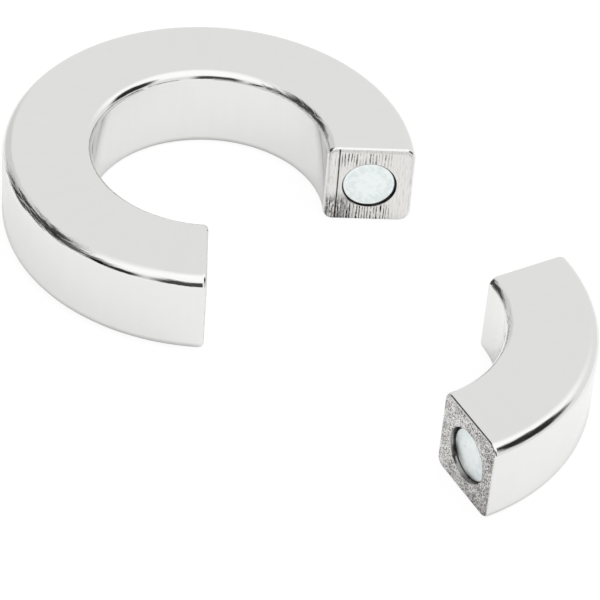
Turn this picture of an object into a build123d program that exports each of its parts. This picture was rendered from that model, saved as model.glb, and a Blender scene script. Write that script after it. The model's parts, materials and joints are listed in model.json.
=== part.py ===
from build123d import *
import math
import os

# Two-piece magnetic split ring, in millimetres, +Z up.
# The origin is on the ring's axis at mid height. The missing quarter of the
# main arc is centred on the direction 45 degrees below +X, so its two end
# faces look nearly along -Y and +X. The closing segment is drawn where it
# lies beside the ring, and the hinge about SWING_POLE brings it home.

# Ring section
BORE_DIAMETER = 35.0
OUTER_DIAMETER = 61.5
HEIGHT = 13.6
OUTER_EDGE_ROUND = 1.85    # the two long edges on the outside
BORE_EDGE_ROUND = 1.5      # the two long edges at the bore
MAIN_END_ROUND = 0.7       # the edges around the main arc's cut faces
SEGMENT_END_ROUND = 0.4    # the edges around the segment's cut faces

# The two cuts
GAP_ANGLE = 91.2           # opening of the main arc, degrees
SEGMENT_ANGLE = 89.6       # span of the closing segment, degrees
GAP_CENTRE = -45.0         # direction of the middle of the gap, degrees

# The closing segment's place beside the ring
SWING_POLE = (85.0, 31.0)  # vertical axis that the segment turns about
SWING_ANGLE = 27.6         # turn from closed to the open place, degrees

# Magnets and their pockets
MAGNET_DIAMETER = 8.0
MAGNET_LENGTH = 5.0
MAGNET_CHAMFER = 0.2
POCKET_DIAMETER = 8.2
DRILL_POINT_ANGLE = 118.0
BOND_THICKNESS = 0.3       # adhesive under the magnet
BOND_MARGIN = 0.45         # adhesive sleeve stops this far below the magnet's face
MAIN_RECESS = 0.25         # magnet face below the main arc's end face
SEGMENT_RECESS = 0.7       # magnet face below the segment's end face
CUTTER_START = 0.5         # the pocket cutters start this far outside the metal

BORE_RADIUS = BORE_DIAMETER / 2
OUTER_RADIUS = OUTER_DIAMETER / 2
SECTION_WIDTH = OUTER_RADIUS - BORE_RADIUS
SECTION_RADIUS = (OUTER_RADIUS + BORE_RADIUS) / 2
ARC_ANGLE = 360.0 - GAP_ANGLE


def turned(shape, degrees):
    """The shape turned about the ring's axis."""
    return Rot(0, 0, degrees) * shape


def swung(shape):
    """The shape carried from its closed place to its place beside the ring."""
    pole = Pos(*SWING_POLE, 0)
    return pole * Rot(0, 0, SWING_ANGLE) * pole.inverse() * shape


def rounded_section():
    """The ring's section, local X pointing away from the bore."""
    section = Rectangle(SECTION_WIDTH, HEIGHT)
    section = fillet(section.vertices().group_by(Axis.X)[0], BORE_EDGE_ROUND)
    return fillet(section.vertices().group_by(Axis.X)[-1], OUTER_EDGE_ROUND)


def plain_arc(angle, end_round):
    """A stretch of the ring from the XZ plane round towards +Y, its ends rounded."""
    arc = revolve(Plane.XZ * Pos(SECTION_RADIUS, 0) * rounded_section(), Axis.Z, angle)
    end_faces = [face for face in arc.faces() if face.geom_type == GeomType.PLANE
                 and abs(face.normal_at().Z) < 0.5]
    return fillet([edge for face in end_faces for edge in face.edges()], end_round)


def end_plane(direction, facing):
    """Plane on the cut at that direction, centred on the section.

    Its Z points out of the metal: facing is 1 where that is anticlockwise, -1 where clockwise.
    """
    around = math.radians(direction)
    centre = (SECTION_RADIUS * math.cos(around), SECTION_RADIUS * math.sin(around), 0)
    outward = (-facing * math.sin(around), facing * math.cos(around), 0)
    return Plane(origin=centre, x_dir=(math.cos(around), math.sin(around), 0), z_dir=outward)


def cone_depth():
    """Depth of the drill's point below the straight part of a pocket."""
    return POCKET_DIAMETER / 2 / math.tan(math.radians(DRILL_POINT_ANGLE / 2))


def round_solid(profile):
    """A solid of revolution about local Z from its (radius, height) outline."""
    return revolve(Plane.XZ * make_face(Polyline(*profile, close=True)), Axis.Z, 360)


def pocket(recess):
    """The drilled hole, mouth at local Z = 0 and going down."""
    radius = POCKET_DIAMETER / 2
    floor = -(recess + MAGNET_LENGTH + BOND_THICKNESS)
    return round_solid([(0, CUTTER_START), (radius, CUTTER_START), (radius, floor),
                        (0, floor - cone_depth())])


def magnet(recess):
    """A disc magnet with chamfered rims, its face below local Z = 0."""
    radius = MAGNET_DIAMETER / 2
    top = -recess
    bottom = top - MAGNET_LENGTH
    rim = radius - MAGNET_CHAMFER
    return round_solid([(0, top), (rim, top), (radius, top - MAGNET_CHAMFER),
                        (radius, bottom + MAGNET_CHAMFER), (rim, bottom), (0, bottom)])


def adhesive(recess):
    """The cured bond: the drill's cone, a pad under the magnet and a thin sleeve round it."""
    outer = POCKET_DIAMETER / 2
    inner = MAGNET_DIAMETER / 2
    rim = inner - MAGNET_CHAMFER
    bottom = -(recess + MAGNET_LENGTH)
    floor = bottom - BOND_THICKNESS
    sleeve_top = -(recess + BOND_MARGIN)
    return round_solid([(0, bottom), (rim, bottom), (inner, bottom + MAGNET_CHAMFER), (inner, sleeve_top),
                        (outer, sleeve_top), (outer, floor), (0, floor - cone_depth())])


def build_half(name, angle, first_cut, recess, end_round):
    """One steel arc with a magnet and its adhesive in each end, by node name."""
    ends = [end_plane(first_cut, -1), end_plane(first_cut + angle, 1)]
    body = turned(plain_arc(angle, end_round), first_cut)
    nodes = {}
    for number, end in enumerate(ends, start=1):
        body -= end * pocket(recess)
        nodes[f"{name}_magnet_{number}"] = end * magnet(recess)
        nodes[f"{name}_adhesive_{number}"] = end * adhesive(recess)
    nodes[name] = body
    return nodes


def build_nodes():
    """Every node, where it lies with the ring open."""
    nodes = build_half("main_arc", ARC_ANGLE, GAP_CENTRE + GAP_ANGLE / 2, MAIN_RECESS, MAIN_END_ROUND)
    segment = build_half("segment", SEGMENT_ANGLE, GAP_CENTRE - SEGMENT_ANGLE / 2, SEGMENT_RECESS,
                         SEGMENT_END_ROUND)
    for name, shape in segment.items():
        nodes[name] = swung(shape)
    return nodes


os.makedirs("parts", exist_ok=True)
for node_name, node_shape in build_nodes().items():
    export_step(node_shape, f"parts/{node_name}.step")
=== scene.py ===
import json
import math

import bpy
import numpy as np
from mathutils import Matrix, Vector, noise


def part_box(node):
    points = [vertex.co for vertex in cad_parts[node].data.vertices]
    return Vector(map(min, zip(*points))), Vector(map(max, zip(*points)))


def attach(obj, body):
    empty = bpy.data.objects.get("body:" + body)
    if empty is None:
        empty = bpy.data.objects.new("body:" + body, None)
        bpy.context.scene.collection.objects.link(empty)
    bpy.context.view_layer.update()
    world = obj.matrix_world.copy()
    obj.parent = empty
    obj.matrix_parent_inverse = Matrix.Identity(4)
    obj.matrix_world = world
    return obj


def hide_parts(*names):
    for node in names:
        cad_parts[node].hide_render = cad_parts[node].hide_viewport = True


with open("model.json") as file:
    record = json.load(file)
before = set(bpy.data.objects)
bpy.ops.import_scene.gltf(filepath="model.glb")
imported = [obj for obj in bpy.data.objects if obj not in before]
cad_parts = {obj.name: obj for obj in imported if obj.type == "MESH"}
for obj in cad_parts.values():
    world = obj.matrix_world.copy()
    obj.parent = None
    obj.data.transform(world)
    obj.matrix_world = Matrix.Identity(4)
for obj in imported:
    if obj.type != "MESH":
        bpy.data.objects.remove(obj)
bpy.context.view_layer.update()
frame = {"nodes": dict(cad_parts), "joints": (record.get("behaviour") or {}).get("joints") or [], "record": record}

MM = 0.001

# ---------------------------------------------------------------- sizes, read from the frame
RING_BORE = next(m for m in frame["record"]["mounts"] if m["name"] == "ring_bore")
SWING = next(j for j in frame["joints"] if j["name"] == "segment_swing")
MAIN_LOW, MAIN_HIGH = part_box("main_arc")

OUTER_RADIUS = -MAIN_LOW.x
BORE_RADIUS = RING_BORE["dims"]["r_mm"] * MM
HEIGHT = MAIN_HIGH.z - MAIN_LOW.z
BORE_EDGE_ROUND = (HEIGHT - RING_BORE["dims"]["length_mm"] * MM) / 2
SECTION_RADIUS = (OUTER_RADIUS + BORE_RADIUS) / 2


def node_diameter(node):
    """Diameter of a disc or plug whose axis lies level: its height."""
    low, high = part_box(node)
    return high.z - low.z


def top_face_radius():
    """Where the main arc's flat top meets its rounded outer edge."""
    return max(vertex.co.xy.length for vertex in frame["nodes"]["main_arc"].data.vertices
               if vertex.co.z > MAIN_HIGH.z - LEVEL)


LEVEL = 0.001 * MM           # two heights this near are the same
OUTER_EDGE_ROUND = OUTER_RADIUS - top_face_radius()
MAGNET_RADIUS = node_diameter("main_arc_magnet_1") / 2
POCKET_RADIUS = node_diameter("main_arc_adhesive_1") / 2

# Sizes that the frame doesn't state
GAP_MIDDLE = math.radians(-45)
MAIN_END_ROUND = 0.7 * MM
SEGMENT_END_ROUND = 0.4 * MM
MAGNET_LENGTH = 5.0 * MM
BOND_THICKNESS = 0.3 * MM
DRILL_POINT_ANGLE = math.radians(118)
MAIN_RECESS = 0.25 * MM
SEGMENT_RECESS = 0.7 * MM
MOUTH_BREAK = 0.06 * MM      # tiny bevel at a pocket's mouth
MAGNET_RIM = 0.2 * MM        # rounded rim of a magnet

# ---------------------------------------------------------------- camera
CAMERA_LENS = 180.0          # mm on a 36 mm sensor
CAMERA_AZIMUTH = math.radians(-4.19)
CAMERA_ELEVATION = math.radians(41.15)
CAMERA_ROLL = math.radians(-4.81)
CAMERA_CLIP = (0.01, 20)     # metres
RING_FROM_AXIS = (-13.67 * MM, 17.85 * MM)   # the ring's centre, right of and above the picture's
RING_DISTANCE = 448.5 * MM                   # the ring's centre, in front of the camera


def add_camera():
    level = Vector((math.cos(CAMERA_AZIMUTH), math.sin(CAMERA_AZIMUTH), 0))
    ahead = Vector((-math.sin(CAMERA_AZIMUTH), math.cos(CAMERA_AZIMUTH), 0))
    forward = ahead * math.cos(CAMERA_ELEVATION) - Vector((0, 0, 1)) * math.sin(CAMERA_ELEVATION)
    upright = level.cross(forward)
    right = level * math.cos(CAMERA_ROLL) - upright * math.sin(CAMERA_ROLL)
    up = level * math.sin(CAMERA_ROLL) + upright * math.cos(CAMERA_ROLL)
    place = -(RING_FROM_AXIS[0] * right + RING_FROM_AXIS[1] * up + RING_DISTANCE * forward)
    camera = bpy.data.objects.new("camera", bpy.data.cameras.new("camera"))
    bpy.context.scene.collection.objects.link(camera)
    camera.matrix_world = Matrix((right, up, -forward)).transposed().to_4x4()
    camera.location = place
    camera.data.lens = CAMERA_LENS
    camera.data.clip_start, camera.data.clip_end = CAMERA_CLIP
    bpy.context.scene.camera = camera


# ---------------------------------------------------------------- node helpers
class Nodes:
    """Short calls for building a shader tree. A value is a number, a tuple or another node's output."""

    def __init__(self, tree):
        self.tree = tree
        tree.nodes.clear()

    def node(self, kind, inputs=(), **settings):
        made = self.tree.nodes.new("ShaderNode" + kind)
        for name, value in settings.items():
            setattr(made, name, value)
        for name, value in dict(inputs).items():
            self.set(made.inputs[name], value)
        return made

    def set(self, socket, value):
        if isinstance(value, bpy.types.NodeSocket):
            self.tree.links.new(value, socket)
        else:
            socket.default_value = value

    def math(self, operation, a, b=0.0, c=0.0):
        made = self.tree.nodes.new("ShaderNodeMath")
        made.operation = operation
        for socket, value in zip(made.inputs, (a, b, c)):
            self.set(socket, value)
        return made.outputs[0]

    def chain(self, operation, values):
        """One operation on two or more values, from the left."""
        result = values[0]
        for value in values[1:]:
            result = self.math(operation, result, value)
        return result

    def times(self, *values):
        return self.chain("MULTIPLY", values)

    def plus(self, *values):
        return self.chain("ADD", values)

    def most(self, *values):
        return self.chain("MAXIMUM", values)

    def smooth(self, value, start, end):
        """0 up to start and 1 from end on, with a soft step between. Start may be above end."""
        made = self.node("MapRange", {"Value": value, "From Min": start, "From Max": end},
                         interpolation_type="SMOOTHSTEP")
        return made.outputs["Result"]

    def span(self, value, to_low, to_high, low=0.0, high=1.0):
        """The value carried from low..high to to_low..to_high."""
        made = self.node("MapRange", {"Value": value, "From Min": low, "From Max": high,
                                      "To Min": to_low, "To Max": to_high})
        return made.outputs["Result"]

    def dot(self, first, second):
        made = self.node("VectorMath", operation="DOT_PRODUCT")
        self.set(made.inputs[0], first)
        self.set(made.inputs[1], second)
        return made.outputs["Value"]

    def mix(self, factor, first, second):
        """A mix of two colours. The Mix node has sockets for every type, and the numbers are the colours'."""
        made = self.node("Mix", data_type="RGBA")
        self.set(made.inputs[0], factor)
        self.set(made.inputs[6], first)
        self.set(made.inputs[7], second)
        return made.outputs[2]

    def stretched(self, source, scale):
        """The vector times a scale for each axis."""
        made = self.node("VectorMath", operation="MULTIPLY")
        self.set(made.inputs[0], source)
        made.inputs[1].default_value = scale
        return made.outputs[0]

    def noise(self, source, scale, detail=2.0, roughness=0.5, distortion=0.0):
        made = self.node("TexNoise", {"Vector": self.stretched(source, scale), "Scale": 1.0,
                                      "Detail": detail, "Roughness": roughness, "Distortion": distortion})
        return made.outputs["Fac"]

    def bump(self, height, depth, normal=None):
        made = self.node("Bump", {"Height": height, "Strength": 1.0, "Distance": depth})
        if normal is not None:
            self.set(made.inputs["Normal"], normal)
        return made.outputs["Normal"]


# ---------------------------------------------------------------- studio
WHITE = (1, 1, 1, 1)
TABLE_CENTRE = (0.020, -0.010)
TABLE_RADIUS = 0.105
TABLE_SIDES = 96
# Glow and whiteness of the table's cloth, as the camera sees it and as the rest of the scene does
TABLE_SEEN = (0.90, 0.15)
TABLE_MIRRORED = (0.40, 0.68)
CONTACT_REACH = 2.0 * MM     # that second glow fades this near under the steel: a painted contact shadow
CONTACT_SAMPLES = 8
TENT = 0.90                  # the tent's walls
LAMP = 0.30                  # how much brighter it is overhead and towards the camera
LAMP_FALL = (-0.6, 1.0, 0)   # that light fades this way
LAMP_SIDE = (0.54, -0.12)    # between these distances along LAMP_FALL
LAMP_RISE = (0.30, 0.72)     # and between these heights. Both are parts of a unit direction
# Dark openings in the tent, soft rounded rectangles on the sky. Degrees: direction and elevation
# of the middle, half width and half height. Then how dark each one is.
OPENINGS = ((168, 18, 24, 34, 0.92), (-158, 9, 18, 22, 0.85), (-138, 4, 15, 12, 0.97),
            (-95, 8, 21, 22, 0.92), (-11, 28, 22, 19, 0.97), (138, 20, 26, 24, 0.18))
OPENING_SOFTNESS = 0.3       # of the half width
OPENING_SQUARENESS = 4.0     # exponent of the rounded rectangle: 2 is an ellipse
KEY_DIRECTION, KEY_ELEVATION = math.radians(-5), math.radians(42)
KEY_STRENGTH = 0.4
KEY_SPREAD = math.radians(40)


def add_opening(nodes, sky, flat, elevation, opening):
    """The sky's strength with one opening darkened, by a direction's level part and its elevation."""
    middle, centre, half_width, half_height, depth = opening
    middle = math.radians(middle)
    toward = nodes.dot(flat, (math.cos(middle), math.sin(middle), 0))
    across = nodes.math("DIVIDE", nodes.math("ARCCOSINE", toward), math.radians(half_width))
    above = nodes.math("SUBTRACT", elevation, math.radians(centre))
    above = nodes.math("DIVIDE", nodes.math("ABSOLUTE", above), math.radians(half_height))
    away = nodes.plus(*(nodes.math("POWER", part, OPENING_SQUARENESS) for part in (across, above)))
    away = nodes.math("POWER", away, 1 / OPENING_SQUARENESS)
    shade = nodes.smooth(away, 1 + OPENING_SOFTNESS, 1 - OPENING_SOFTNESS)
    return nodes.times(sky, nodes.math("SUBTRACT", 1.0, nodes.times(shade, depth)))


def add_key_light():
    """A broad soft light from the right, which only the cloth of the table shows."""
    sun = bpy.data.lights.new("key_light", "SUN")
    sun.energy = KEY_STRENGTH
    sun.angle = KEY_SPREAD
    key = bpy.data.objects.new("key_light", sun)
    toward = Vector((math.cos(KEY_DIRECTION) * math.cos(KEY_ELEVATION),
                     math.sin(KEY_DIRECTION) * math.cos(KEY_ELEVATION), math.sin(KEY_ELEVATION)))
    key.rotation_mode = "QUATERNION"
    key.rotation_quaternion = toward.to_track_quat("Z", "Y")
    key.visible_glossy = False
    bpy.context.scene.collection.objects.link(key)


def light_studio():
    """The white tent with its lamp and its openings, as light. The camera sees it white."""
    world = bpy.data.worlds.new("studio")
    bpy.context.scene.world = world
    world.use_nodes = True
    nodes = Nodes(world.node_tree)
    direction = nodes.node("TexCoord").outputs["Generated"]
    height = nodes.node("SeparateXYZ", {"Vector": direction}).outputs["Z"]
    flat = nodes.node("VectorMath", operation="NORMALIZE")
    nodes.set(flat.inputs[0], nodes.stretched(direction, (1, 1, 0)))
    lamp = nodes.times(nodes.smooth(nodes.dot(direction, LAMP_FALL), *LAMP_SIDE),
                       nodes.smooth(height, *LAMP_RISE))
    sky = nodes.plus(TENT, nodes.times(lamp, LAMP))
    elevation = nodes.math("ARCSINE", height)
    for opening in OPENINGS:
        sky = add_opening(nodes, sky, flat.outputs[0], elevation, opening)
    seen = nodes.node("LightPath").outputs["Is Camera Ray"]
    background = nodes.node("Background", {"Color": WHITE, "Strength": nodes.most(sky, seen)})
    nodes.set(nodes.node("OutputWorld").inputs["Surface"], background.outputs[0])
    bpy.context.scene.view_settings.view_transform = "Standard"


def lit_cloth(nodes, glow, whiteness):
    """White cloth lit from above and, by the glow, from below."""
    below = nodes.node("Emission", {"Color": WHITE, "Strength": glow})
    above = nodes.node("BsdfDiffuse", {"Color": (whiteness, whiteness, whiteness, 1)})
    both = nodes.node("AddShader")
    nodes.set(both.inputs[0], below.outputs[0])
    nodes.set(both.inputs[1], above.outputs[0])
    return both.outputs[0]


def add_table():
    """A round white light table. The camera sees it nearly burnt out, the steel mirrors its soft shadows."""
    material = bpy.data.materials.new("light_table")
    material.use_nodes = True
    nodes = Nodes(material.node_tree)
    # Ambient occlusion dims the glow the steel mirrors: a painted contact shadow
    open_air = nodes.node("AmbientOcclusion", {"Distance": CONTACT_REACH}, samples=CONTACT_SAMPLES)
    glow, whiteness = TABLE_MIRRORED
    either = nodes.node("MixShader")
    nodes.set(either.inputs[0], nodes.node("LightPath").outputs["Is Camera Ray"])
    nodes.set(either.inputs[1], lit_cloth(nodes, nodes.times(open_air.outputs["AO"], glow), whiteness))
    nodes.set(either.inputs[2], lit_cloth(nodes, *TABLE_SEEN))
    nodes.set(nodes.node("OutputMaterial").inputs["Surface"], either.outputs[0])
    turns = [2 * math.pi * side / TABLE_SIDES for side in range(TABLE_SIDES)]
    rim = [(TABLE_CENTRE[0] + TABLE_RADIUS * math.cos(turn),
            TABLE_CENTRE[1] + TABLE_RADIUS * math.sin(turn), MAIN_LOW.z) for turn in turns]
    mesh = bpy.data.meshes.new("light_table")
    mesh.from_pydata(rim, [], [range(TABLE_SIDES)])
    mesh.materials.append(material)
    table = bpy.data.objects.new("light_table", mesh)
    bpy.context.scene.collection.objects.link(table)


# ---------------------------------------------------------------- materials
GRAIN = "grain"              # UV map in millimetres: round and across an arc, or across and up an end face
EDGE = "edge"                # how strongly a point was buffed: up to 1 in a rounded long edge, 0 on the flats

POLISHED_DULL, POLISHED_BRIGHT = (0.797, 0.797, 0.787, 1), (0.822, 0.822, 0.812, 1)
# A painted highlight: the lighter colour of the rounded rims around the cut faces
RIM_HIGHLIGHT = (0.93, 0.925, 0.91, 1)
GROUND_BRIGHT, GROUND_DARK = (0.80, 0.79, 0.77, 1), (0.03, 0.029, 0.027, 1)
SCRATCH_FLOOR = (0.05, 0.048, 0.045, 1)
FROST_BRIGHT, FROST_DARK = (0.88, 0.865, 0.85, 1), (0.07, 0.067, 0.064, 1)
DRILLED_DARK, DRILLED_BRIGHT = (0.30, 0.29, 0.28, 1), (0.62, 0.61, 0.59, 1)
ZINC, ZINC_BLOOM = (0.88, 0.925, 0.92, 1), (0.77, 0.83, 0.835, 1)
# Black round a magnet's rim: crept adhesive, and a painted shadow of the gap in its pocket
GLUE_AND_GAP_SHADOW = (0.02, 0.02, 0.02, 1)
# The adhesive's black is partly a painted shadow in the pocket's gap
EPOXY_AND_GAP_SHADOW, EPOXY_LIGHT = (0.012, 0.012, 0.013, 1), (0.03, 0.028, 0.026, 1)

# Below, a pair of numbers that goes to Nodes.smooth is where something is still absent and where it
# is in full. A pair that goes to Nodes.span is the least and the most of something. The scale of a
# noise is in waves for each unit of its vector: of a millimetre, where that is the grain.


def new_material(name):
    material = bpy.data.materials.new(name)
    material.use_nodes = True
    nodes = Nodes(material.node_tree)
    grain = nodes.node("UVMap", uv_map=GRAIN).outputs["UV"]
    shader = nodes.node("BsdfPrincipled")
    nodes.set(nodes.node("OutputMaterial").inputs["Surface"], shader.outputs[0])
    return material, nodes, grain, shader.inputs


CLOUD_SCALE = (0.5, 0.08, 0)
POLISH_SCALE = (0.4, 1.6, 0)
POLISH_ROUGHNESS = (0.02, 0.06)
# Two sets of buffing lines: their slant, and their scale
BUFFING_LINES = ((math.radians(7), (0.16, 3.6, 0)), (math.radians(-6), (0.13, 4.6, 0)))
CREST = (0.58, 0.62)         # of the line noise: its crests, which the polish left hazy
CREST_ROUGHNESS = 0.55
LINE_RELIEF = 0.035 * MM
WAVE_SCALE, WAVE_RELIEF = (0.1, 0.12, 0), 0.006 * MM


def buffing_lines(nodes, grain, slant, scale):
    """Long thin noise that crosses the arc's direction at a small slant."""
    turned = nodes.node("Mapping", {"Vector": grain, "Rotation": (0, 0, slant)}).outputs["Vector"]
    return nodes.noise(turned, scale, detail=3, roughness=0.55)


def polished_steel():
    """Mirror-polished stainless steel, with the fine buffing lines left in the rounded edges."""
    material, nodes, grain, shader = new_material("polished_steel")
    edge = nodes.node("Attribute", attribute_name=EDGE).outputs["Fac"]
    cloud = nodes.noise(grain, CLOUD_SCALE, detail=3)
    nodes.set(shader["Base Color"], nodes.mix(cloud, POLISHED_DULL, POLISHED_BRIGHT))
    shader["Metallic"].default_value = 1.0
    polish = nodes.span(nodes.noise(grain, POLISH_SCALE, detail=4), *POLISH_ROUGHNESS)
    lines = [buffing_lines(nodes, grain, slant, scale) for slant, scale in BUFFING_LINES]
    crest = nodes.most(*(nodes.smooth(line, *CREST) for line in lines))
    nodes.set(shader["Roughness"], nodes.plus(polish, nodes.times(crest, edge, CREST_ROUGHNESS)))
    wave = nodes.bump(nodes.noise(grain, WAVE_SCALE, detail=1), WAVE_RELIEF)
    nodes.set(shader["Normal"], nodes.bump(nodes.times(nodes.plus(*lines), edge), LINE_RELIEF, wave))
    return material


# The main arc's cut faces. Places are in mm outward and upward from the middle of the face
FEED_PITCH = 0.46            # mm between the grinding marks
MARK_WANDER = 11.0           # how far noise carries the marks off that pitch, radians
MARK_WANDER_SCALE = (0.9, 0.10, 0)
MARK = (-0.1, 0.8)           # of the sine that repeats the marks
UNBROKEN, UNBROKEN_SCALE = (0.38, 0.54), (2.0, 0.8, 0)
CLUSTER, CLUSTER_SCALE = (0.38, 0.58), (0.8, 0.3, 0)
CLUSTERED = (0.4, 1.0)
FAINT_MARKS = 0.10           # the marks' strength where they are neither heavy nor smeared
HEAVY_OFF_MIDDLE = (2.8, 4.4)
HEAVY_OUTER_END, HEAVY_BORE_END = (4.2, 1.4), (-6.3, -4.6)
HEAVIER_LOW, HEAVIER = (2.0, -5.0), (1.0, 1.8)
SMEAR_SIDE, SMEAR_LOW = (-1.6, -3.4), (-0.8, -3.6)
BLOT, BLOT_SCALE, BLOT_STRENGTH = (0.40, 0.56), (2.2, 0.9, 0), 0.7
MARKS_TOP = (6.2, 5.9)
FINE, FINE_SCALE, FINE_STRENGTH = (0.48, 0.72), (6.0, 0.5, 0), 0.22
SCRATCH_PLACE = -4.8
SCRATCH = (0.165, 0.044)     # mm to either side of that
SCRATCH_RELIEF = 2.0         # of the relief of the marks
RIM_WIDTH = 0.12             # mm in which the painted highlight at the edges of the face sets in
# Strength of the painted rim highlight on the main arc's faces, and the roughness added there
GROUND_RIM, GROUND_RIM_ROUGHNESS = 0.8, 0.4
GROUND_ROUGHNESS = (0.22, 0.42)
GROUND_RELIEF = 0.015 * MM


def grinding_marks(nodes, grain, outward):
    """Upright dark marks at an uneven pitch, broken along their length and gathered in clusters."""
    wander = nodes.times(nodes.noise(grain, MARK_WANDER_SCALE, detail=3), MARK_WANDER)
    phase = nodes.plus(nodes.times(outward, 2 * math.pi / FEED_PITCH), wander)
    mark = nodes.smooth(nodes.math("SINE", phase), *MARK)
    unbroken = nodes.smooth(nodes.noise(grain, UNBROKEN_SCALE, detail=4, roughness=0.7), *UNBROKEN)
    cluster = nodes.smooth(nodes.noise(grain, CLUSTER_SCALE, detail=2), *CLUSTER)
    return nodes.times(mark, unbroken, nodes.span(cluster, *CLUSTERED))


def highlighted_rim(nodes, grain, end_round):
    """1 on the rounded edges around a cut face, 0 on the face. The rims carry a painted highlight."""
    away = nodes.node("VectorMath", {0: grain}, operation="ABSOLUTE").outputs["Vector"]
    away = nodes.node("SeparateXYZ", {"Vector": away})
    half_width = ((OUTER_RADIUS - BORE_RADIUS) / 2 - end_round) / MM
    half_height = (HEIGHT / 2 - end_round) / MM
    return nodes.most(nodes.smooth(away.outputs["X"], half_width, half_width + RIM_WIDTH),
                      nodes.smooth(away.outputs["Y"], half_height, half_height + RIM_WIDTH))


def ground_steel():
    """A cut face of the main arc, ground straight up and down, with one deep scratch and a painted highlight on
    its rounded rims.
    """
    material, nodes, grain, shader = new_material("ground_steel")
    place = nodes.node("SeparateXYZ", {"Vector": grain})
    outward, upward = place.outputs["X"], place.outputs["Y"]
    fine = nodes.noise(grain, FINE_SCALE, detail=3, roughness=0.7)
    heavy = nodes.times(nodes.smooth(nodes.math("ABSOLUTE", upward), *HEAVY_OFF_MIDDLE),
                        nodes.span(nodes.smooth(upward, *HEAVIER_LOW), *HEAVIER),
                        nodes.times(nodes.smooth(outward, *HEAVY_OUTER_END),
                                    nodes.smooth(outward, *HEAVY_BORE_END)))
    smeared = nodes.times(nodes.smooth(outward, *SMEAR_SIDE), nodes.smooth(upward, *SMEAR_LOW))
    marks = nodes.times(grinding_marks(nodes, grain, outward), nodes.most(heavy, smeared, FAINT_MARKS))
    blots = nodes.noise(grain, BLOT_SCALE, detail=4, roughness=0.7, distortion=1.0)
    blots = nodes.times(smeared, BLOT_STRENGTH, nodes.smooth(blots, *BLOT))
    dark = nodes.times(nodes.most(marks, blots), nodes.smooth(upward, *MARKS_TOP))
    dark = nodes.plus(dark, nodes.times(nodes.smooth(fine, *FINE), FINE_STRENGTH))
    rim = highlighted_rim(nodes, grain, MAIN_END_ROUND)
    # Painted highlight: a lighter colour on the rounded rims
    steel = nodes.mix(nodes.times(rim, GROUND_RIM), GROUND_BRIGHT, RIM_HIGHLIGHT)
    steel = nodes.mix(dark, steel, GROUND_DARK)
    off_scratch = nodes.math("ABSOLUTE", nodes.math("SUBTRACT", outward, SCRATCH_PLACE))
    scratch = nodes.smooth(off_scratch, *SCRATCH)
    nodes.set(shader["Base Color"], nodes.mix(scratch, steel, SCRATCH_FLOOR))
    shader["Metallic"].default_value = 1.0
    nodes.set(shader["Roughness"], nodes.plus(nodes.span(fine, *GROUND_ROUGHNESS),
                                              nodes.times(rim, GROUND_RIM_ROUGHNESS)))
    sunk = nodes.plus(dark, nodes.times(scratch, SCRATCH_RELIEF))
    nodes.set(shader["Normal"], nodes.bump(nodes.math("SUBTRACT", fine, sunk), GROUND_RELIEF))
    return material


# The segment's cut faces
SPECK, SPECK_SCALE = (0.47, 0.53), (4.4, 4.8, 0)
PATCHES, PATCHES_SCALE = (-0.10, 0.10), (0.4, 0.4, 0)
LEAN = (-0.03, 0.005, -6.0, 6.0)   # amounts at two places outward, then those places: darker outwards
FROST_RIM = 0.75
FROST_ROUGHNESS = 0.36
FROST_RELIEF = 0.05 * MM


def frosted_steel():
    """A cut face of the segment, with a coarse crossed grain and a painted highlight on its rounded rims."""
    material, nodes, grain, shader = new_material("frosted_steel")
    outward = nodes.node("SeparateXYZ", {"Vector": grain}).outputs["X"]
    speck = nodes.noise(grain, SPECK_SCALE, detail=2, roughness=0.7, distortion=1.3)
    patches = nodes.span(nodes.noise(grain, PATCHES_SCALE, detail=2), *PATCHES)
    dark = nodes.smooth(nodes.plus(patches, nodes.span(outward, *LEAN), speck), *SPECK)
    steel = nodes.mix(dark, FROST_BRIGHT, FROST_DARK)
    rim = nodes.times(highlighted_rim(nodes, grain, SEGMENT_END_ROUND), FROST_RIM)
    # Painted highlight: a lighter colour on the rounded rims
    nodes.set(shader["Base Color"], nodes.mix(rim, steel, RIM_HIGHLIGHT))
    shader["Metallic"].default_value = 1.0
    shader["Roughness"].default_value = FROST_ROUGHNESS
    nodes.set(shader["Normal"], nodes.bump(speck, FROST_RELIEF))
    return material


RINGS_SCALE, RINGS_RELIEF = (0.1, 9.0, 0), 0.01 * MM
SMEAR, SMEAR_SCALE = (0.48, 0.60), (0.35, 0.8, 0)
DRILLED_ROUGHNESS = 0.3


def drilled_steel():
    """The wall of a magnet pocket, with the drill's fine rings and smears of adhesive."""
    material, nodes, grain, shader = new_material("drilled_steel")
    rings = nodes.noise(grain, RINGS_SCALE, detail=3)
    bare = nodes.mix(rings, DRILLED_DARK, DRILLED_BRIGHT)
    smear = nodes.smooth(nodes.noise(grain, SMEAR_SCALE, detail=3), *SMEAR)
    nodes.set(shader["Base Color"], nodes.mix(smear, bare, EPOXY_LIGHT))
    nodes.set(shader["Metallic"], nodes.math("SUBTRACT", 1.0, smear))
    shader["Roughness"].default_value = DRILLED_ROUGHNESS
    nodes.set(shader["Normal"], nodes.bump(rings, RINGS_RELIEF))
    return material


# Places are in mm from the middle of a magnet
BLOOM, BLOOM_SCALE = (0.50, 0.70), (1.0, 1.0, 0)
BLOOM_RING_START, BLOOM_RING_END, BLOOM_RING = (1.2, 2.8), (3.8, 3.2), 0.12
GLUE_AND_SHADOW_WANDER, GLUE_AND_SHADOW_WANDER_SCALE = (-0.06, 0.06), (0.9, 0.9, 0)
GAP_SHADOW_LEAN = (0.035, -0.035, 0)  # the painted shadow of the pocket's gap reaches further over one side of the rim
GLUE_AND_SHADOW_START, GLUE_AND_SHADOW_FULL = 0.02, 0.12   # beyond the flat of the face
PLATING_ROUGHNESS = (0.28, 0.42)
PLATING_SCALE, PLATING_RELIEF = (3.0, 3.0, 0), 0.012 * MM


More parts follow.
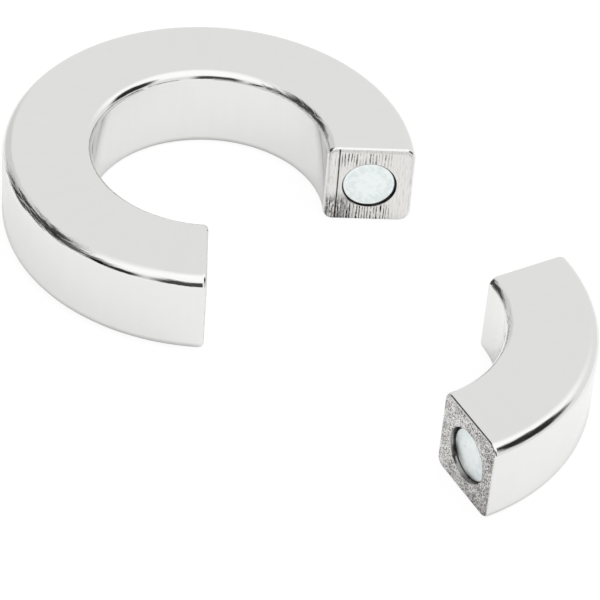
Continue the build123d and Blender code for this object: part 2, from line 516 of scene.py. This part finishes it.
def magnet_plating():
    """Zinc plating with a bluish bloom, and black round the rim: crept adhesive, and a painted shadow of the
    pocket's gap that leans to one side.
    """
    material, nodes, grain, shader = new_material("magnet_plating")
    radius = nodes.node("VectorMath", {0: grain}, operation="LENGTH").outputs["Value"]
    bloom = nodes.noise(grain, BLOOM_SCALE, detail=5, roughness=0.65)
    ring = nodes.times(nodes.smooth(radius, *BLOOM_RING_START), nodes.smooth(radius, *BLOOM_RING_END),
                       BLOOM_RING)
    plated = nodes.mix(nodes.smooth(nodes.plus(bloom, ring), *BLOOM), ZINC, ZINC_BLOOM)
    wander = nodes.plus(nodes.span(nodes.noise(grain, GLUE_AND_SHADOW_WANDER_SCALE, detail=2), *GLUE_AND_SHADOW_WANDER),
                        nodes.dot(grain, GAP_SHADOW_LEAN))
    flat_radius = (MAGNET_RADIUS - MAGNET_RIM) / MM
    # Crept adhesive and painted gap shadow, reaching further over one side of the rim
    glue_and_shadow = nodes.smooth(nodes.plus(radius, wander), flat_radius + GLUE_AND_SHADOW_START, flat_radius + GLUE_AND_SHADOW_FULL)
    nodes.set(shader["Base Color"], nodes.mix(glue_and_shadow, plated, GLUE_AND_GAP_SHADOW))
    nodes.set(shader["Metallic"], nodes.math("SUBTRACT", 1.0, glue_and_shadow))
    nodes.set(shader["Roughness"], nodes.span(bloom, *PLATING_ROUGHNESS))
    nodes.set(shader["Normal"], nodes.bump(nodes.noise(grain, PLATING_SCALE, detail=3), PLATING_RELIEF))
    return material


LUMP_SCALE, LUMP_RELIEF = (900, 900, 900), 0.05 * MM
EPOXY_ROUGHNESS = (0.25, 0.5)


def adhesive_and_gap_shadow():
    """Cured black epoxy, slightly uneven, its black partly a painted shadow in the gap round a magnet. It is for
    CAD nodes, which have no grain, so it goes by place.
    """
    material = bpy.data.materials.new("adhesive_and_gap_shadow")
    material.use_nodes = True
    nodes = Nodes(material.node_tree)
    place = nodes.node("TexCoord").outputs["Object"]
    lump = nodes.noise(place, LUMP_SCALE, detail=3)
    shader = nodes.node("BsdfPrincipled")
    nodes.set(shader.inputs["Base Color"], nodes.mix(lump, EPOXY_AND_GAP_SHADOW, EPOXY_LIGHT))
    nodes.set(shader.inputs["Roughness"], nodes.span(lump, *EPOXY_ROUGHNESS))
    nodes.set(shader.inputs["Normal"], nodes.bump(lump, LUMP_RELIEF))
    nodes.set(nodes.node("OutputMaterial").inputs["Surface"], shader.outputs[0])
    return material


# ---------------------------------------------------------------- mesh of one steel arc
SKIN, FACE, POCKET = 0, 1, 2 # material slots of a steel arc
TOP_ROUND_STEPS = 28
LOW_ROUND_STEPS = 14
FLAT_STEPS = 20
END_ROUND_STEPS = 10
MAIN_FACE_ROWS, SEGMENT_FACE_ROWS = 5, 4   # rows of the end rounds that have the cut face's finish
FACE_LOOPS = (0.3, 0.6, 0.85)   # shares of the way from a cut face's outline to its pocket
WALL_LOOP = 1.0 * MM         # depth of one loop of a pocket's wall, below the magnet's face
DRILL_TIP = 0.02             # flat at the drill's point, as a share of the pocket's radius
SHARP_ANGLE = math.radians(30)
STATION_SPACING = 0.45 * MM
RIPPLE_DEPTH = 0.040 * MM
RIPPLE_STRETCH = (0.16, 1.8) # waves for each mm round the arc and across the edge
RIPPLE_SLANT = 0.10          # mm across for each mm along
RIPPLE_LAYER = 0.5           # the noise is read in the plane at this height
RIPPLE_FADE = math.radians(4)
EVEN_BUFFING = 0.12          # ripple strength of an edge outside the stretches below
OUTER_TOP, INNER_TOP = 0, 1
# Unevenly buffed stretches of the long edges: which edge, from and to what direction, strength
BUFFED = {"main_arc": ((OUTER_TOP, 184, 236, 1.0), (OUTER_TOP, 236, 268, 0.4), (INNER_TOP, 12, 64, 0.8)),
          "segment": ((INNER_TOP, -12, 26, 0.8), (OUTER_TOP, -64, -30, 0.25))}
SUPPORT = 0.03 * MM          # distance of the extra loops that keep the flats flat


def section_outline():
    """Once round the section, from the start of the outer top edge.

    Gives its (radius, height) points, their outward normals, their weights, which are 1 in the middle
    of an edge and 0 on the flats, the number of the edge each belongs to, and its distance from the
    first, with one distance more for the way back.
    """
    half = HEIGHT / 2
    corners = ((OUTER_RADIUS, half, OUTER_EDGE_ROUND, TOP_ROUND_STEPS),
               (BORE_RADIUS, half, BORE_EDGE_ROUND, TOP_ROUND_STEPS),
               (BORE_RADIUS, -half, BORE_EDGE_ROUND, LOW_ROUND_STEPS),
               (OUTER_RADIUS, -half, OUTER_EDGE_ROUND, LOW_ROUND_STEPS))
    rounds = []
    for turn, (radius, height, edge_round, steps) in enumerate(corners):
        turns = np.radians(90) * (turn + np.arange(steps + 1) / steps)
        normal = np.stack([np.cos(turns), np.sin(turns)], 1)
        middle = np.array([radius, height]) - edge_round * np.sign([radius - SECTION_RADIUS, height])
        rounds.append((middle + edge_round * normal, normal))
    points, normals, weights, edges = [], [], [], []
    for turn, (corner, normal) in enumerate(rounds):
        reach = rounds[(turn + 1) % 4][0][0] - corner[-1]
        support = SUPPORT / np.linalg.norm(reach)
        along = np.concatenate([[support], np.arange(1, FLAT_STEPS) / FLAT_STEPS, [1 - support]])[:, None]
        points += [corner, corner[-1] + along * reach]
        normals += [normal, np.repeat(normal[-1:], len(along), 0)]
        weights += [np.sin(np.pi * np.arange(len(corner)) / (len(corner) - 1)), np.zeros(len(along))]
        edges += [np.full(len(corner) + len(along), turn)]
    points = np.concatenate(points)
    steps = np.linalg.norm(np.roll(points, -1, 0) - points, axis=1)
    distances = np.concatenate([[0], np.cumsum(steps)])
    return points, np.concatenate(normals), np.concatenate(weights), np.concatenate(edges), distances


def face_grain(flat):
    """Grain of (outward, upward) points on a cut face, with one more than the points for the seam."""
    return [(x / MM, z / MM) for x, z in flat] + [(flat[0][0] / MM, flat[0][1] / MM)]


def soft_step(value):
    """0 below 0 and 1 above 1, with a soft step between."""
    value = np.clip(value, 0, 1)
    return value * value * (3 - 2 * value)


class ArcMesh:
    """Collects the loops of one arc: its polished skin, its two cut faces and their magnet pockets."""

    def __init__(self, centre, first, last, recess, end_round, buffed, face_rows):
        self.centre = centre
        self.first, self.last = first, last
        self.recess = recess
        self.end_round = end_round
        self.buffed = buffed
        self.face_rows = face_rows
        self.points, self.normals, self.weights, self.edges, self.distances = section_outline()
        self.count = len(self.points)
        self.vertices, self.edge_weights = [], []
        self.faces, self.corner_grain, self.slots = [], [], []

    def add_loop(self, places, weights=None):
        """Adds a loop's vertices and gives the number of the first."""
        start = len(self.vertices)
        self.vertices += [tuple(p) for p in places]
        self.edge_weights += list(np.zeros(len(places)) if weights is None else weights)
        return start

    def join(self, lower, upper, lower_grain, upper_grain, slot, flip=False):
        """Quads between two loops. A grain list has one more entry than its loop, for the seam."""
        for j in range(self.count):
            k = (j + 1) % self.count
            quad = [lower + j, upper + j, upper + k, lower + k]
            grain = [lower_grain[j], upper_grain[j], upper_grain[j + 1], lower_grain[j + 1]]
            self.faces.append(quad[::-1] if flip else quad)
            self.corner_grain += grain[::-1] if flip else grain
            self.slots.append(slot)

    def polar(self, radius, height, angle):
        return np.stack([self.centre.x + radius * np.cos(angle),
                         self.centre.y + radius * np.sin(angle), height], 1)

    def skin_rows(self):
        """For each loop of the skin, its section's inset, and the function from radius to direction."""
        rounds = np.radians(90) * np.arange(END_ROUND_STEPS) / END_ROUND_STEPS
        inset = self.end_round * (1 - np.sin(rounds))
        depth = self.end_round * (1 - np.cos(rounds))
        length = SECTION_RADIUS * (self.last - self.first) - 2 * self.end_round
        count = round(length / STATION_SPACING)
        share = np.arange(count + 1) / count
        share = np.concatenate([[0, SUPPORT / length], share[1:-1], [1 - SUPPORT / length, 1]])
        rows = [(i, lambda r, d=d: self.first + np.arcsin(d / r)) for i, d in zip(inset, depth)]
        rows += [(0.0, lambda r, s=s: self.first + np.arcsin(self.end_round / r)
                  + s * (self.last - self.first - 2 * np.arcsin(self.end_round / r))) for s in share]
        rows += [(i, lambda r, d=d: self.last - np.arcsin(d / r)) for i, d in zip(inset[::-1], depth[::-1])]
        return rows

    def buffing(self, direction):
        """Ripple strength at each point of the section, at one direction of the arc."""
        strength = np.full(self.count, EVEN_BUFFING)
        for edge, start, stop, amount in self.buffed:
            rise = soft_step((direction - math.radians(start)) / RIPPLE_FADE + 0.5)
            fall = soft_step((math.radians(stop) - direction) / RIPPLE_FADE + 0.5)
            strength[self.edges == edge] += (amount - EVEN_BUFFING) * rise * fall
        end_distance = SECTION_RADIUS * min(direction - self.first, self.last - direction)
        return strength * self.weights * soft_step((end_distance - self.end_round) / MM)

    def ripples(self, along, strength):
        """How far the buffing left each point of the section proud."""
        across = self.distances[:-1] / MM + along * RIPPLE_SLANT
        places = [Vector((along * RIPPLE_STRETCH[0], a * RIPPLE_STRETCH[1], RIPPLE_LAYER)) for a in across]
        return RIPPLE_DEPTH * strength * np.array([noise.noise(place) for place in places])

    def build_skin(self):
        """The polished skin and the rounded edges at both ends. Gives the first and the last loop."""
        loops, grains, face_grains = [], [], []
        for inset, direction in self.skin_rows():
            station = float(direction(np.array([SECTION_RADIUS]))[0])
            strength = self.buffing(station)
            proud = self.ripples(station * SECTION_RADIUS / MM, strength) - inset
            section = self.points + proud[:, None] * self.normals
            angles = direction(section[:, 0])
            loops.append(self.add_loop(self.polar(section[:, 0], section[:, 1], angles), strength))
            grains.append([(station * SECTION_RADIUS / MM, d / MM) for d in self.distances])
            face_grains.append(face_grain(section - np.array([SECTION_RADIUS, 0])))
        for row in range(len(loops) - 1):
            at_end = min(row, len(loops) - 2 - row) < self.face_rows
            low_grain, high_grain = (face_grains if at_end else grains)[row:row + 2]
            self.join(loops[row], loops[row + 1], low_grain, high_grain, FACE if at_end else SKIN)
        return loops[0], loops[-1]

    def build_end(self, outline, direction, inward_sign):
        """The cut face from its outline to the pocket, and the pocket down to the drill's point."""
        radial = Vector((math.cos(direction), math.sin(direction), 0))
        inward = Vector((-math.sin(direction), math.cos(direction), 0)) * inward_sign
        middle = self.centre + radial * SECTION_RADIUS
        edge = self.points - self.end_round * self.normals - np.array([SECTION_RADIUS, 0])
        turn = np.arctan2(edge[:, 1], edge[:, 0])
        around = np.stack([np.cos(turn), np.sin(turn)], 1)
        mouth = around * (POCKET_RADIUS + MOUTH_BREAK)
        reach = np.linalg.norm(edge - mouth, axis=1)[:, None]
        floor_depth = self.recess + MAGNET_LENGTH + BOND_THICKNESS
        point_depth = floor_depth + POCKET_RADIUS / math.tan(DRILL_POINT_ANGLE / 2)

        def place(flat, depth):
            return [middle + radial * x + Vector((0, 0, z)) + inward * depth for x, z in flat]

        def wall_grain(depth):
            lap = np.unwrap(np.append(turn, turn[0]))
            return [(t * POCKET_RADIUS / MM, depth / MM) for t in lap]

        previous, previous_grain = outline, face_grain(edge)
        for share in (SUPPORT / reach, *FACE_LOOPS, 1 - SUPPORT / reach, 1.0):
            flat = edge + share * (mouth - edge)
            loop, grain = self.add_loop(place(flat, 0)), face_grain(flat)
            self.join(previous, loop, previous_grain, grain, FACE, inward_sign > 0)
            previous, previous_grain = loop, grain
        wall = around * POCKET_RADIUS
        previous_grain = wall_grain(0)
        for depth in (MOUTH_BREAK, 2 * MOUTH_BREAK, self.recess + WALL_LOOP, floor_depth - SUPPORT,
                      floor_depth):
            loop, grain = self.add_loop(place(wall, depth)), wall_grain(depth)
            self.join(previous, loop, previous_grain, grain, POCKET, inward_sign > 0)
            previous, previous_grain = loop, grain
        loop = self.add_loop(place(wall * DRILL_TIP, point_depth))
        self.join(previous, loop, previous_grain, wall_grain(point_depth), POCKET, inward_sign > 0)
        cap = [loop + j for j in range(self.count)]
        self.faces.append(cap if inward_sign > 0 else cap[::-1])
        self.corner_grain += [(0, 0)] * self.count
        self.slots.append(POCKET)

    def finish(self, name, materials):
        mesh = bpy.data.meshes.new(name)
        mesh.from_pydata(self.vertices, [], self.faces)
        mesh.polygons.foreach_set("material_index", self.slots)
        mesh.polygons.foreach_set("use_smooth", [True] * len(self.faces))
        mesh.uv_layers.new(name=GRAIN).data.foreach_set("uv", np.array(self.corner_grain, float).ravel())
        mesh.attributes.new(EDGE, "FLOAT", "POINT").data.foreach_set("value", self.edge_weights)
        mesh.set_sharp_from_angle(angle=SHARP_ANGLE)
        for material in materials:
            mesh.materials.append(material)
        piece = bpy.data.objects.new(name, mesh)
        bpy.context.scene.collection.objects.link(piece)
        return piece


def arc_span(node, centre, middle):
    """First and last direction of the node's vertices seen from centre."""
    turn = Matrix.Rotation(-middle, 2)
    angles = []
    for vertex in frame["nodes"][node].data.vertices:
        x, y = turn @ (vertex.co.xy - centre.xy)
        angles.append(math.atan2(y, x))
    return middle + min(angles), middle + max(angles)


def build_arc(name, node, body, centre, middle, recess, end_round, face_material, face_rows):
    """One steel arc in place of its CAD node. Gives the directions of its two cut faces."""
    first, last = arc_span(node, centre, middle)
    arc = ArcMesh(centre, first, last, recess, end_round, BUFFED[node], face_rows)
    near, far = arc.build_skin()
    arc.build_end(near, first, 1)
    arc.build_end(far, last, -1)
    piece = arc.finish(name, [polished, face_material, drilled])
    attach(piece, body)
    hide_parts(node)
    return first, last


# ---------------------------------------------------------------- magnets
MAGNET_STEPS_AROUND = 160
MAGNET_RINGS = 26
RIM_STEPS = 6
DENT_RADIUS = 0.20 * MM
DENT_DEPTH = 0.10 * MM
# Dents in a magnet's face, outward and upward from its middle
DENTS = {"main_arc_magnet_1": ((3.1 * MM, 0.85 * MM), (2.9 * MM, 0.35 * MM))}


def magnet_profile():
    """(radius, height) from the middle of the face, over the rounded rims, to the middle of the back."""
    flat_radius = MAGNET_RADIUS - MAGNET_RIM
    rim = np.radians(90) * np.arange(RIM_STEPS + 1) / RIM_STEPS
    face = [(flat_radius * ring / MAGNET_RINGS, 0.0) for ring in range(1, MAGNET_RINGS)]
    face += [(flat_radius - SUPPORT, 0.0)]
    face += [(flat_radius + MAGNET_RIM * math.sin(t), -MAGNET_RIM * (1 - math.cos(t))) for t in rim]
    back = [(radius, -MAGNET_LENGTH - height) for radius, height in face]
    return face + back[::-1]


def dent_depth(x, z, dents):
    return sum(DENT_DEPTH * math.exp(-((x - dent_x) ** 2 + (z - dent_z) ** 2) / DENT_RADIUS ** 2)
               for dent_x, dent_z in dents)


def build_magnet(name, node, body, centre, direction, outward_sign, recess, glue_and_shadow_turn):
    """A disc with rounded rims, its face looking out of the pocket."""
    radial = Vector((math.cos(direction), math.sin(direction), 0))
    outward = Vector((-math.sin(direction), math.cos(direction), 0)) * outward_sign
    face_middle = centre + radial * SECTION_RADIUS - outward * recess
    profile = magnet_profile()
    dents = DENTS.get(node, ())
    vertices, grains = [], []
    for radius, height in profile:
        for step in range(MAGNET_STEPS_AROUND):
            turn = 2 * math.pi * step / MAGNET_STEPS_AROUND
            x, z = radius * math.cos(turn), radius * math.sin(turn)
            sunk = dent_depth(x, z, dents) if height == 0 else 0
            vertices.append(face_middle + radial * x + Vector((0, 0, z)) + outward * (height - sunk))
            # Turning the grain puts the painted gap shadow on the other side of the rim
            turn += glue_and_shadow_turn
            grains.append((radius / MM * math.cos(turn), radius / MM * math.sin(turn)))
    faces = []
    for row in range(len(profile) - 1):
        for step in range(MAGNET_STEPS_AROUND):
            after = (step + 1) % MAGNET_STEPS_AROUND
            a, b = row * MAGNET_STEPS_AROUND, (row + 1) * MAGNET_STEPS_AROUND
            faces.append((a + step, b + step, b + after, a + after))
    last_ring = (len(profile) - 1) * MAGNET_STEPS_AROUND
    faces.append(tuple(range(MAGNET_STEPS_AROUND)))
    faces.append(tuple(last_ring + step for step in reversed(range(MAGNET_STEPS_AROUND))))
    if outward_sign > 0:
        faces = [face[::-1] for face in faces]
    mesh = bpy.data.meshes.new(name)
    mesh.from_pydata(vertices, [], faces)
    mesh.polygons.foreach_set("use_smooth", [True] * len(faces))
    uv = mesh.uv_layers.new(name=GRAIN).data
    uv.foreach_set("uv", np.array([grains[loop.vertex_index] for loop in mesh.loops], float).ravel())
    mesh.materials.append(plating)
    piece = bpy.data.objects.new(name, mesh)
    bpy.context.scene.collection.objects.link(piece)
    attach(piece, body)
    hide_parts(node)


# ---------------------------------------------------------------- put it together
add_camera()
light_studio()
add_key_light()
add_table()

polished = polished_steel()
drilled = drilled_steel()
plating = magnet_plating()
adhesive = adhesive_and_gap_shadow()

pole = Vector(SWING["pos_m"])
closed_turn = math.radians(min(SWING["range_deg"]))
segment_centre = pole + Matrix.Rotation(-closed_turn, 3, "Z") @ -pole

# Node, body, ring centre, middle direction, recess of the magnets, end rounding, material of the cut
# faces, rows of the end rounds that have it too, and how far round the magnets were turned
halves = (("main_arc", "main_arc", Vector((0, 0, 0)), GAP_MIDDLE + math.pi, MAIN_RECESS, MAIN_END_ROUND,
           ground_steel(), MAIN_FACE_ROWS, 0),
          ("segment", "closing_segment", segment_centre, GAP_MIDDLE - closed_turn, SEGMENT_RECESS,
           SEGMENT_END_ROUND, frosted_steel(), SEGMENT_FACE_ROWS, math.pi))
# The last column turns the magnets' grain, which sets the side of their painted gap shadow
for node, body, centre, middle, recess, end_round, face_material, face_rows, glue_and_shadow_turn in halves:
    ends = build_arc(f"{node}_steel", node, body, centre, middle, recess, end_round, face_material,
                     face_rows)
    for number, (direction, outward_sign) in enumerate(zip(ends, (-1, 1)), start=1):
        build_magnet(f"{node}_magnet_disc_{number}", f"{node}_magnet_{number}", body, centre, direction,
                     outward_sign, recess, glue_and_shadow_turn)
        # Adhesive, black as a painted shadow in the gap round the magnet
        frame["nodes"][f"{node}_adhesive_{number}"].material_slots[0].material = adhesive
